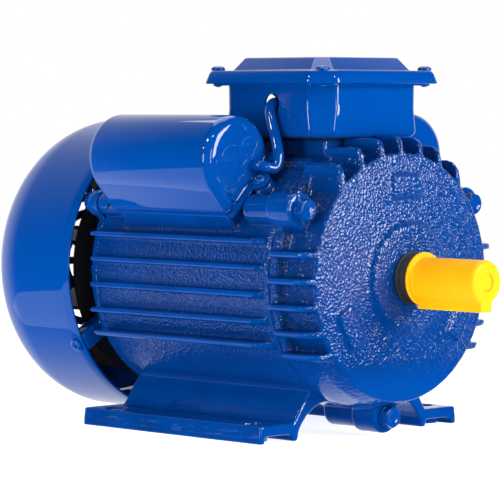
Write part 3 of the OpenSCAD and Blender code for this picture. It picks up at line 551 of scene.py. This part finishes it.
# Covers are drawn in millimetres: n is square to the flange plane, t is upwards along it.
COVER_PLANE = 72.4
SHEET = 1.2
COVER_R = 22.0
COVER_N, COVER_T = COVER_PLANE + 14.6, -3.9
COVER_LOW = -27.8
FLANGE_LOW, FLANGE_HIGH = -29.5, 14.0
EAR_T, EAR_R, EAR_REACH = -5.0, 5.4, 5.0
COVER_CORNER = 5.6


def cover_section(inset):
    """Outer section of a cover as (n, t) points, from its low edge over the round top."""
    base = COVER_PLANE + SHEET
    r = COVER_R - inset
    low_t = COVER_LOW + 1.15 * inset + 0.6
    dn, dt = base - COVER_N, low_t - COVER_T
    start = math.atan2(dt, dn) + math.acos(r / math.hypot(dn, dt))
    stop = math.acos(max(dn / r, -1.0))
    touch = (COVER_N + r * math.cos(start), COVER_T + r * math.sin(start))
    slope = [
        (base + (touch[0] - base) * s, low_t + (touch[1] - low_t) * s)
        for s in (0.0, 0.03, 0.08, 0.2, 0.4, 0.6, 0.8)
    ]
    arc = []
    for i in range(41):
        a = start + (stop - start) * i / 40
        arc.append((COVER_N + r * math.cos(a), COVER_T + r * math.sin(a)))
    return slope + arc


def eased(points, base_t):
    """Adds the flange on both sides of a section, with a soft turn into it."""
    base = COVER_PLANE + SHEET
    first, last = points[0], points[-1]
    low = [
        (base - 0.55, base_t[0]), (base - 0.12, base_t[0] + 0.25), (base, base_t[0] + 0.8),
        (base, (base_t[0] + first[1]) / 2), (base, first[1] - 0.9), (base + 0.12, first[1] - 0.3),
    ]
    high = [
        (base + 0.12, last[1] + 0.2), (base, last[1] + 0.5),
        (base, (last[1] + base_t[1]) / 2), (base, base_t[1]),
    ]
    middle = [(max(n, base + 0.3), t) for n, t in points]
    return low + middle + high


def flattened(section, share):
    """The section pressed down towards the flange plane: share 1 keeps it, 0 is flat."""
    base = COVER_PLANE + SHEET
    count = len(section)
    made = []
    for i, (n, t) in enumerate(section):
        flat_t = FLANGE_LOW + (FLANGE_HIGH - FLANGE_LOW) * i / (count - 1)
        if n <= base:
            made.append((n, t + (flat_t - t) * (1 - share)))
        else:
            made.append((base + (n - base) * share, t + (flat_t - t) * (1 - share)))
    return made


def flange_end(x_wall, outward, reach, ear_x, t):
    """Where the flange ends along X at height t, with the ear for the screw."""
    edge = x_wall + outward * reach
    if abs(t - EAR_T) < EAR_R:
        ear = ear_x + outward * math.sqrt(EAR_R**2 - (t - EAR_T) ** 2)
        edge = max(edge, ear) if outward > 0 else min(edge, ear)
    return edge


def cover_rows(front, rear, corner):
    """Rows of (x, n, t) from the rear flange over the shell to the front flange."""
    rows = []
    ends = ((rear, -1, 0.6, rear - EAR_REACH), (front, 1, 4.0, front + EAR_REACH))
    for x_wall, outward, reach, ear_x in ends:
        end = []
        for share in (1.0, 0.55):
            section = flattened(eased(cover_section(corner), (FLANGE_LOW, FLANGE_HIGH)), 0.0)
            end.append([
                (x_wall + (flange_end(x_wall, outward, reach, ear_x, t) - x_wall) * share, n, t)
                for n, t in section
            ])
        steps = [(0.004, 0.7), (0.02, 0.3), (0.045, 0.08)] + [(0.08 + 0.07 * k, 0.0) for k in range(13)]
        for share, out in steps:
            section = flattened(eased(cover_section(corner), (FLANGE_LOW, FLANGE_HIGH)), share)
            end.append([(x_wall + outward * min(out, reach * 0.9), n, t) for n, t in section])
        for i in range(9):
            a = math.pi / 2 * i / 8
            section = eased(cover_section(corner * (1 - math.sin(a))), (FLANGE_LOW, FLANGE_HIGH))
            end.append([(x_wall - outward * corner * (1 - math.cos(a)), n, t) for n, t in section])
        rows += end if outward < 0 else end[::-1]
    return rows


def cover_place(side, x, n, t):
    """Row frame point of a cover's own (x, n, t) in millimetres; side -1 is the -Y cover."""
    half = math.sqrt(0.5)
    return (x * MM, side * (n - t) * half * MM, AXIS_Z + (n + t) * half * MM)


def capacitor_cover(node, side):
    """Pressed steel cover: round back, soft ends and a flange with two screw ears."""
    low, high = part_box(node)
    rear = low.x / MM + EAR_REACH + EAR_R
    front = high.x / MM - EAR_REACH - EAR_R
    rows = [[cover_place(side, *p) for p in row] for row in cover_rows(front, rear, COVER_CORNER)]
    piece = add_object(node + "_shell", from_rows(node + "_shell", rows, closed=False))
    mesh = piece.data
    centre = Vector(cover_place(side, 0, COVER_N - 4, COVER_T))
    middle = max(mesh.polygons, key=lambda f: (f.center - centre).length * side * f.center.y)
    if middle.normal.dot(middle.center - centre) < 0:
        mesh.flip_normals()
    modifier(piece, "SOLIDIFY", thickness=SHEET * MM, offset=-1)
    modifier(
        piece, "BEVEL", width=0.4 * MM, segments=3, limit_method="ANGLE",
        angle_limit=math.radians(55),
    )
    apply_modifiers(piece)
    sharp_by_angle(piece, 60)
    return settle(piece, "motor", node)


capacitor_cover("left_cover", -1)
capacitor_cover("right_cover", 1)


# ---- terminal box and lid -----------------------------------------------------------


def round_octagon(half, cut, radius, z, centre_x, steps=5):
    """Square with cut corners whose eight edges are rounded, as points at height z."""
    corners = [
        (half, -half + cut), (half, half - cut), (half - cut, half), (-half + cut, half),
        (-half, half - cut), (-half, -half + cut), (-half + cut, -half), (half - cut, -half),
    ]
    ring = []
    for i, here in enumerate(corners):
        before, after = Vector(corners[i - 1]), Vector(corners[(i + 1) % 8])
        here = Vector(here)
        back, ahead = (before - here).normalized(), (after - here).normalized()
        reach = radius * math.tan(math.pi / 8)
        start, stop = here + back * reach, here + ahead * reach
        for k in range(steps + 1):
            s = k / steps
            point = start * (1 - s) ** 2 + here * 2 * s * (1 - s) + stop * s**2
            ring.append((centre_x + point.x * MM, point.y * MM, z * MM))
    return ring


def cut_holes(piece, cutters):
    """Takes each cutter's volume out of the piece."""
    for cutter in cutters:
        cut = modifier(piece, "BOOLEAN", operation="DIFFERENCE", solver="EXACT")
        cut.object = cutter
    apply_modifiers(piece)
    for cutter in cutters:
        bpy.data.objects.remove(cutter)


def round_cutter(centre, axis, radius, length, sides=48):
    """A bar to cut a round hole with."""
    form = bmesh.new()
    bmesh.ops.create_cone(
        form, cap_ends=True, segments=sides, radius1=radius, radius2=radius, depth=length,
        matrix=Matrix.Translation(centre) @ Vector(axis).to_track_quat("Z", "Y").to_matrix().to_4x4(),
    )
    mesh = bpy.data.meshes.new("cutter")
    form.to_mesh(mesh)
    form.free()
    return add_object("cutter", mesh)


def terminal_box():
    """Folded box: rounded bottom and corners, turned out flange, holes for the wires."""
    low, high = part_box("terminal_box")
    centre_x = (low.x + high.x) / 2
    floor, top = low.z / MM, high.z / MM
    half, cut, bend = 37.2, 10.0, 3.4
    flange = (high.x - low.x) / 2 / MM
    rings = [(0.5, 0.2, 0.1, floor)]
    for i in range(7):
        a = math.pi / 2 * i / 6
        rings.append((half - bend + bend * math.sin(a), cut - 1.4, 4.0, floor + bend * (1 - math.cos(a))))
    rings.append((half, cut, bend, (floor + top) / 2))
    for i in range(5):
        a = math.pi / 2 * i / 4
        rings.append((half + 1.0 - math.cos(a), cut - 0.2, bend, top - 1.2 + 1.0 * math.sin(a) - 0.9))
    rings += [(flange - 1.0, cut - 0.8, bend, top - 1.1), (flange, cut - 0.8, bend, top - 1.1)]
    rows = [round_octagon(a, c, r, z, centre_x) for a, c, r, z in rings]
    piece = add_object("terminal_box_shell", from_rows("terminal_box_shell", rows, caps=(True, False)))
    modifier(piece, "SOLIDIFY", thickness=1.1 * MM, offset=-1, use_even_offset=True)
    apply_modifiers(piece)
    points = coordinates(piece.data)
    points = np.clip(points, np.array(low, np.float32), np.array(high, np.float32))
    piece.data.vertices.foreach_set("co", points.ravel())
    entry = frame_mount("cable_entry")
    wire_x, wire_z = 40, floor + 17
    cut_holes(
        piece,
        [
            round_cutter(Vector((wire_x * MM, 0, wire_z * MM)), (0, 1, 0), 5 * MM, 0.2),
            round_cutter(Vector((low.x + 2 * MM, 0, entry["pos_m"][2])), (1, 0, 0), 8 * MM, 0.024),
        ],
    )
    modifier(
        piece, "BEVEL", width=0.3 * MM, segments=2, limit_method="ANGLE",
        angle_limit=math.radians(45),
    )
    apply_modifiers(piece)
    sharp_by_angle(piece, 40)
    return settle(piece, "motor", "terminal_box")


terminal_box()


def terminal_lid():
    """Pressed lid: flared skirt, flat rim and a raised middle with sloping sides."""
    low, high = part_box("terminal_lid")
    centre_x = (low.x + high.x) / 2
    bottom, peak = low.z / MM, high.z / MM
    half = (high.x - low.x) / 2 / MM
    top = bottom + 6.3
    rings = [
        (0.4, 0.15, 0.05, peak), (28.6, 4.6, 1.0, peak), (29.3, 4.7, 1.2, peak - 0.12),
        (29.9, 4.9, 1.4, peak - 0.5), (35.0, 7.7, 1.6, top + 0.62), (35.6, 7.9, 1.8, top + 0.15),
        (36.4, 8.1, 2.0, top), (half - 3.4, 9.4, 2.6, top), (half - 2.7, 9.7, 2.8, top - 0.12),
        (half - 2.2, 9.9, 3.0, top - 0.5), (half - 1.5, 10.1, 3.2, top - 1.6),
        (half, 10.5, 3.6, bottom),
    ]
    rows = [round_octagon(a, c, r, z, centre_x) for a, c, r, z in rings]
    piece = add_object("terminal_lid_shell", from_rows("terminal_lid_shell", rows, caps=(True, False)))
    modifier(piece, "SOLIDIFY", thickness=1.1 * MM, offset=-1, use_even_offset=True)
    modifier(
        piece, "BEVEL", width=0.3 * MM, segments=2, limit_method="ANGLE",
        angle_limit=math.radians(60),
    )
    apply_modifiers(piece)
    sharp_by_angle(piece, 45)
    return settle(piece, "motor", "terminal_lid")


terminal_lid()


# ---- screws and bolts ---------------------------------------------------------------


def turned(direction):
    """Rotation that takes local +Z to the direction."""
    return Vector(direction).to_track_quat("Z", "Y").to_matrix().to_4x4()


def lathe_rows(profile, sides, shape):
    """Rows round local Z through (radius, z) points, which shape(angle, radius, z) bends."""
    rows = []
    for radius, z in profile:
        row = []
        for j in range(sides):
            a = 2 * math.pi * j / sides
            r, h = shape(a, radius, z)
            row.append(Vector((r * math.cos(a), r * math.sin(a), h)))
        rows.append(row)
    return rows


def placed(name, parts):
    """One mesh out of (rows, matrix) parts."""
    form = bmesh.new()
    for rows, matrix in parts:
        mesh = from_rows(name, rows, caps=(True, True))
        mesh.transform(matrix)
        form.from_mesh(mesh)
        bpy.data.meshes.remove(mesh)
    mesh = bpy.data.meshes.new(name)
    form.to_mesh(mesh)
    form.free()
    return mesh


def cross_recess(radius, arm, depth):
    """Shape that sinks a cross into the top of a domed head."""

    def shape(a, r, z):
        x, y = abs(r * math.cos(a)), abs(r * math.sin(a))
        along, across = max(x, y), min(x, y)
        if z <= 0 or along > radius:
            return r, z
        inside = max(0.0, 1 - across / arm) * max(0.0, 1 - (along / radius) ** 2)
        return r, z - depth * min(1.0, inside * 2.2)

    return shape


def pan_screw_rows(head, rise, shank, length):
    """Painted pan head screw with a cross recess, seated at local z 0."""
    profile = [(shank * 0.5, -length), (shank, -length + 0.5), (shank, 0.0), (head - 0.15, 0.0)]
    profile += [(head, 0.25), (head, rise * 0.35)]
    for i in range(1, 15):
        a = math.pi / 2 * i / 15
        profile.append((head * math.cos(a) ** 0.8, rise * (0.35 + 0.65 * math.sin(a))))
    profile.append((0.02, rise))
    recess = cross_recess(head * 0.62, 0.55, 0.9)
    return [[p * MM for p in row] for row in lathe_rows(profile, 48, recess)]


def screws(name, node, direction_of, head, rise, shank):
    """A screw at each of the node's solids; direction_of(centre) points out of the head."""
    parts = []
    for low, high in islands(node):
        centre = (low + high) / 2
        out = Vector(direction_of(centre)).normalized()
        size = high - low
        lean = math.sqrt(max(0.0, 1 - max(abs(o) for o in out) ** 2))
        length = sum(abs(o) * s for o, s in zip(out, size)) - 2 * head * MM * lean
        half = length / 2
        seat = centre + out * (half - rise * MM)
        rows = pan_screw_rows(head, rise, shank, (length - rise * MM) / MM)
        parts.append((rows, Matrix.Translation(seat) @ turned(out)))
    piece = add_object(name, placed(name, parts))
    sharp_by_angle(piece, 40)
    return settle(piece, "motor", node)


def outwards(centre):
    """Direction away from the shaft."""
    return (0, centre.y, centre.z - AXIS_Z)


def cover_outwards(centre):
    """Square to the face of the capacitor cover."""
    return (0, math.copysign(1, centre.y), 1)


screws("lid_pan_screws", "lid_screws", lambda c: (0, 0, 1), 3.6, 2.3, 1.9)
screws("cover_pan_screws", "cover_screws", cover_outwards, 3.5, 2.1, 1.9)
screws("cowl_pan_screws", "cowl_screws", outwards, 3.7, 2.1, 1.9)


def hexagon(flats, chamfer_radius):
    """Shape of a hexagon bar whose corners are turned down to the chamfer radius."""

    def shape(a, r, z):
        sixth = (a + math.pi / 6) % (math.pi / 3) - math.pi / 6
        side = flats / 2 / math.cos(sixth)
        limit = chamfer_radius(z)
        return (min(r, side, limit) if r > flats * 0.4 else r), z

    return shape


def bolt_rows(flats, height, shank, length):
    """Hexagon bolt with a chamfered, slightly dished head, seated at local z 0."""
    tip = flats / math.sqrt(3)
    profile = [(shank * 0.6, -length), (shank, -length + 0.6), (shank, 0), (flats * 0.46, 0)]
    profile += [(tip, 0.15), (tip, 0.3)]
    steps = 8
    for i in range(steps + 1):
        profile.append((tip, 0.3 + (height - 0.35) * i / steps))
    profile += [(flats * 0.47, height), (flats * 0.39, height), (flats * 0.31, height - 0.15)]
    profile += [(flats * 0.26, height - 0.5), (0.05, height - 0.55)]
    shape = hexagon(flats, lambda z: tip - max(0.0, z - (height - 0.95)) * 0.95)
    return [[p * MM for p in row] for row in lathe_rows(profile, 72, shape)]


BOLT_FLATS, BOLT_HEAD, BOLT_SHANK = 9.9, 3.95, 3.0


def shield_bolts(name, node, outward):
    """The hexagon bolts of one end shield, each turned a little differently."""
    parts = []
    for low, high in islands(node):
        head_x = high.x if outward > 0 else low.x
        centre_y, centre_z = (low.y + high.y) / 2, (low.z + high.z) / 2
        seat = Vector((head_x - outward * BOLT_HEAD * MM, centre_y, centre_z))
        length = (high.x - low.x) / MM - BOLT_HEAD
        spin = Matrix.Rotation(0.35 * centre_y / MM, 4, "Z")
        matrix = Matrix.Translation(seat) @ turned((outward, 0, 0)) @ spin
        parts.append((bolt_rows(BOLT_FLATS, BOLT_HEAD, BOLT_SHANK, length), matrix))
    piece = add_object(name, placed(name, parts))
    modifier(
        piece, "BEVEL", width=0.25 * MM, segments=2, limit_method="ANGLE",
        angle_limit=math.radians(30),
    )
    apply_modifiers(piece)
    sharp_by_angle(piece, 35)
    return settle(piece, "motor", node)


shield_bolts("front_hex_bolts", "front_shield_bolts", 1)
shield_bolts("rear_hex_bolts", "rear_shield_bolts", -1)


# ---- smooth small pieces ------------------------------------------------------------


def smooth_tube(node, body):
    """The painted sleeve over the capacitor wires, rounder than its CAD solid."""
    mesh = cad_copy(node, node + "_tube")
    form = bmesh.new()
    form.from_mesh(mesh)
    bmesh.ops.join_triangles(
        form, faces=form.faces, angle_face_threshold=3.1, angle_shape_threshold=3.1
    )
    form.to_mesh(mesh)
    form.free()
    piece = add_object(node + "_tube", mesh)
    modifier(piece, "SUBSURF", levels=2, render_levels=2)
    apply_modifiers(piece)
    for polygon in piece.data.polygons:
        polygon.use_smooth = True
    return settle(piece, body, node)


smooth_tube("left_sleeve", "motor")
smooth_tube("right_sleeve", "motor")


def moulded(node, body, voxel, rounds):
    """The node with every edge softened, as a moulding or thick paint leaves it."""
    name = node + "_moulding"
    piece = add_object(name, cad_copy(node, name))
    modifier(piece, "REMESH", mode="VOXEL", voxel_size=voxel, use_smooth_shade=True)
    modifier(piece, "SMOOTH", factor=0.5, iterations=rounds)
    apply_modifiers(piece)
    return settle(piece, body, node)


moulded("shaft_cap", "transport_cap", 0.4 * MM, 6)
moulded("front_spring_washers", "motor", 0.2 * MM, 3)


# ---- floor, lights and camera -------------------------------------------------------

LOOK_AT = Vector((-14.8, 0.0, 89.8)) * MM
CAMERA = Vector((1102.8, -1094.5, 169.6)) * MM
SENSOR = 36.0
LENS = 216.3


def floor():
    """A round pale floor that glows, so it stays as light as the surroundings."""
    form = bmesh.new()
    bmesh.ops.create_circle(form, cap_ends=True, segments=96, radius=1.4)
    mesh = bpy.data.meshes.new("studio_floor")
    form.to_mesh(mesh)
    form.free()
    piece = add_object("studio_floor", mesh)
    n = Nodes("floor_white")
    n.set(Roughness=0.9, IOR=1.2, Emission_Color=(1, 1, 1, 1), Emission_Strength=0.85)
    n.use(n.ramp(n.noise(0.4, 2), (0.3, (0.80, 0.80, 0.805)), (0.7, (0.84, 0.84, 0.84))))
    mesh.materials.append(n.material)
    piece.visible_glossy = False


def area_light(name, place, target, size, power, seen=True):
    """Soft white panel lamp that points at target; seen says whether gloss mirrors it."""
    lamp = bpy.data.lights.new(name, "AREA")
    lamp.shape = "RECTANGLE"
    lamp.size, lamp.size_y = size
    lamp.energy = power
    holder = bpy.data.objects.new(name, lamp)
    bpy.context.scene.collection.objects.link(holder)
    holder.location = place
    holder.rotation_mode = "QUATERNION"
    holder.rotation_quaternion = (Vector(target) - Vector(place)).to_track_quat("-Z", "Y")
    holder.visible_glossy = seen
    holder.visible_camera = False


def studio_world():
    """White surroundings for the eye; for the lighting a bright wall and a dim front."""
    world = bpy.data.worlds.new("studio")
    bpy.context.scene.world = world
    world.use_nodes = True
    tree = world.node_tree
    tree.nodes.clear()
    new, link = tree.nodes.new, tree.links.new
    place = new("ShaderNodeTexCoord").outputs["Generated"]
    split = new("ShaderNodeSeparateXYZ")
    link(place, split.inputs[0])
    behind = new("ShaderNodeVectorMath")
    behind.operation = "DOT_PRODUCT"
    behind.inputs[1].default_value = (-0.80, 0.60, 0.0)
    link(place, behind.inputs[0])
    wall = new("ShaderNodeMapRange")
    wall.interpolation_type = "SMOOTHSTEP"
    for name, value in (("From Min", 0.2), ("From Max", 0.75), ("To Min", 0.0), ("To Max", 1.0)):
        wall.inputs[name].default_value = value
    link(behind.outputs["Value"], wall.inputs["Value"])
    height = new("ShaderNodeMapRange")
    height.interpolation_type = "SMOOTHSTEP"
    for name, value in (("From Min", 0.45), ("From Max", 0.8), ("To Min", 1.0), ("To Max", 0.5)):
        height.inputs[name].default_value = value
    link(split.outputs["Z"], height.inputs["Value"])
    glow = new("ShaderNodeMath")
    glow.operation = "MULTIPLY"
    link(wall.outputs["Result"], glow.inputs[0])
    link(height.outputs["Result"], glow.inputs[1])
    lit = new("ShaderNodeBackground")
    link(glow.outputs["Value"], lit.inputs["Strength"])
    seen = new("ShaderNodeBackground")
    seen.inputs["Strength"].default_value = 1.0
    for shader in (lit, seen):
        shader.inputs["Color"].default_value = (1, 1, 1, 1)
    pick = new("ShaderNodeMixShader")
    link(new("ShaderNodeLightPath").outputs["Is Camera Ray"], pick.inputs["Fac"])
    link(lit.outputs[0], pick.inputs[1])
    link(seen.outputs[0], pick.inputs[2])
    link(pick.outputs[0], new("ShaderNodeOutputWorld").inputs["Surface"])


def lights():
    """A large lamp for the drive end, one overhead, and panels that the enamel mirrors."""
    centre = Vector((0, 0, 0.08))
    area_light("drive_end_softbox", (0.92, 0.28, 0.38), (0.09, -0.02, 0.10), (0.46, 0.50), 11)
    area_light("overhead", (-0.38, 0.36, 1.35), (0, 0, 0.1), (1.0, 1.1), 10)
    area_light("left_panel", (0.05, -1.25, 0.20), centre, (0.26, 0.38), 3.0)
    area_light("right_panel", (1.20, -0.34, 0.22), centre, (0.16, 0.42), 2.0)
    area_light("left_fill", (-0.45, -1.5, 0.16), centre, (1.0, 0.25), 6.2, seen=False)
    area_light("floor_card", (-0.14, -0.29, 0.002), (-0.14, -0.29, 1.0), (0.30, 0.37), 0.25)
    area_light("spark_one", (0.20, -0.9, 0.95), centre, (0.10, 0.10), 2.6)
    area_light("spark_two", (-0.1, -1.0, 0.60), centre, (0.08, 0.08), 1.6)
    area_light("spark_three", (0.75, -0.5, 1.0), centre, (0.08, 0.08), 1.4)


def camera():
    lens = bpy.data.cameras.new("camera")
    lens.lens = LENS
    lens.sensor_width = SENSOR
    lens.clip_start, lens.clip_end = 0.05, 50
    holder = bpy.data.objects.new("camera", lens)
    bpy.context.scene.collection.objects.link(holder)
    holder.location = CAMERA
    holder.rotation_mode = "QUATERNION"
    holder.rotation_quaternion = (LOOK_AT - CAMERA).to_track_quat("-Z", "Y")
    bpy.context.scene.camera = holder


floor()
studio_world()
lights()
camera()
bpy.context.scene.view_settings.view_transform = "Standard"
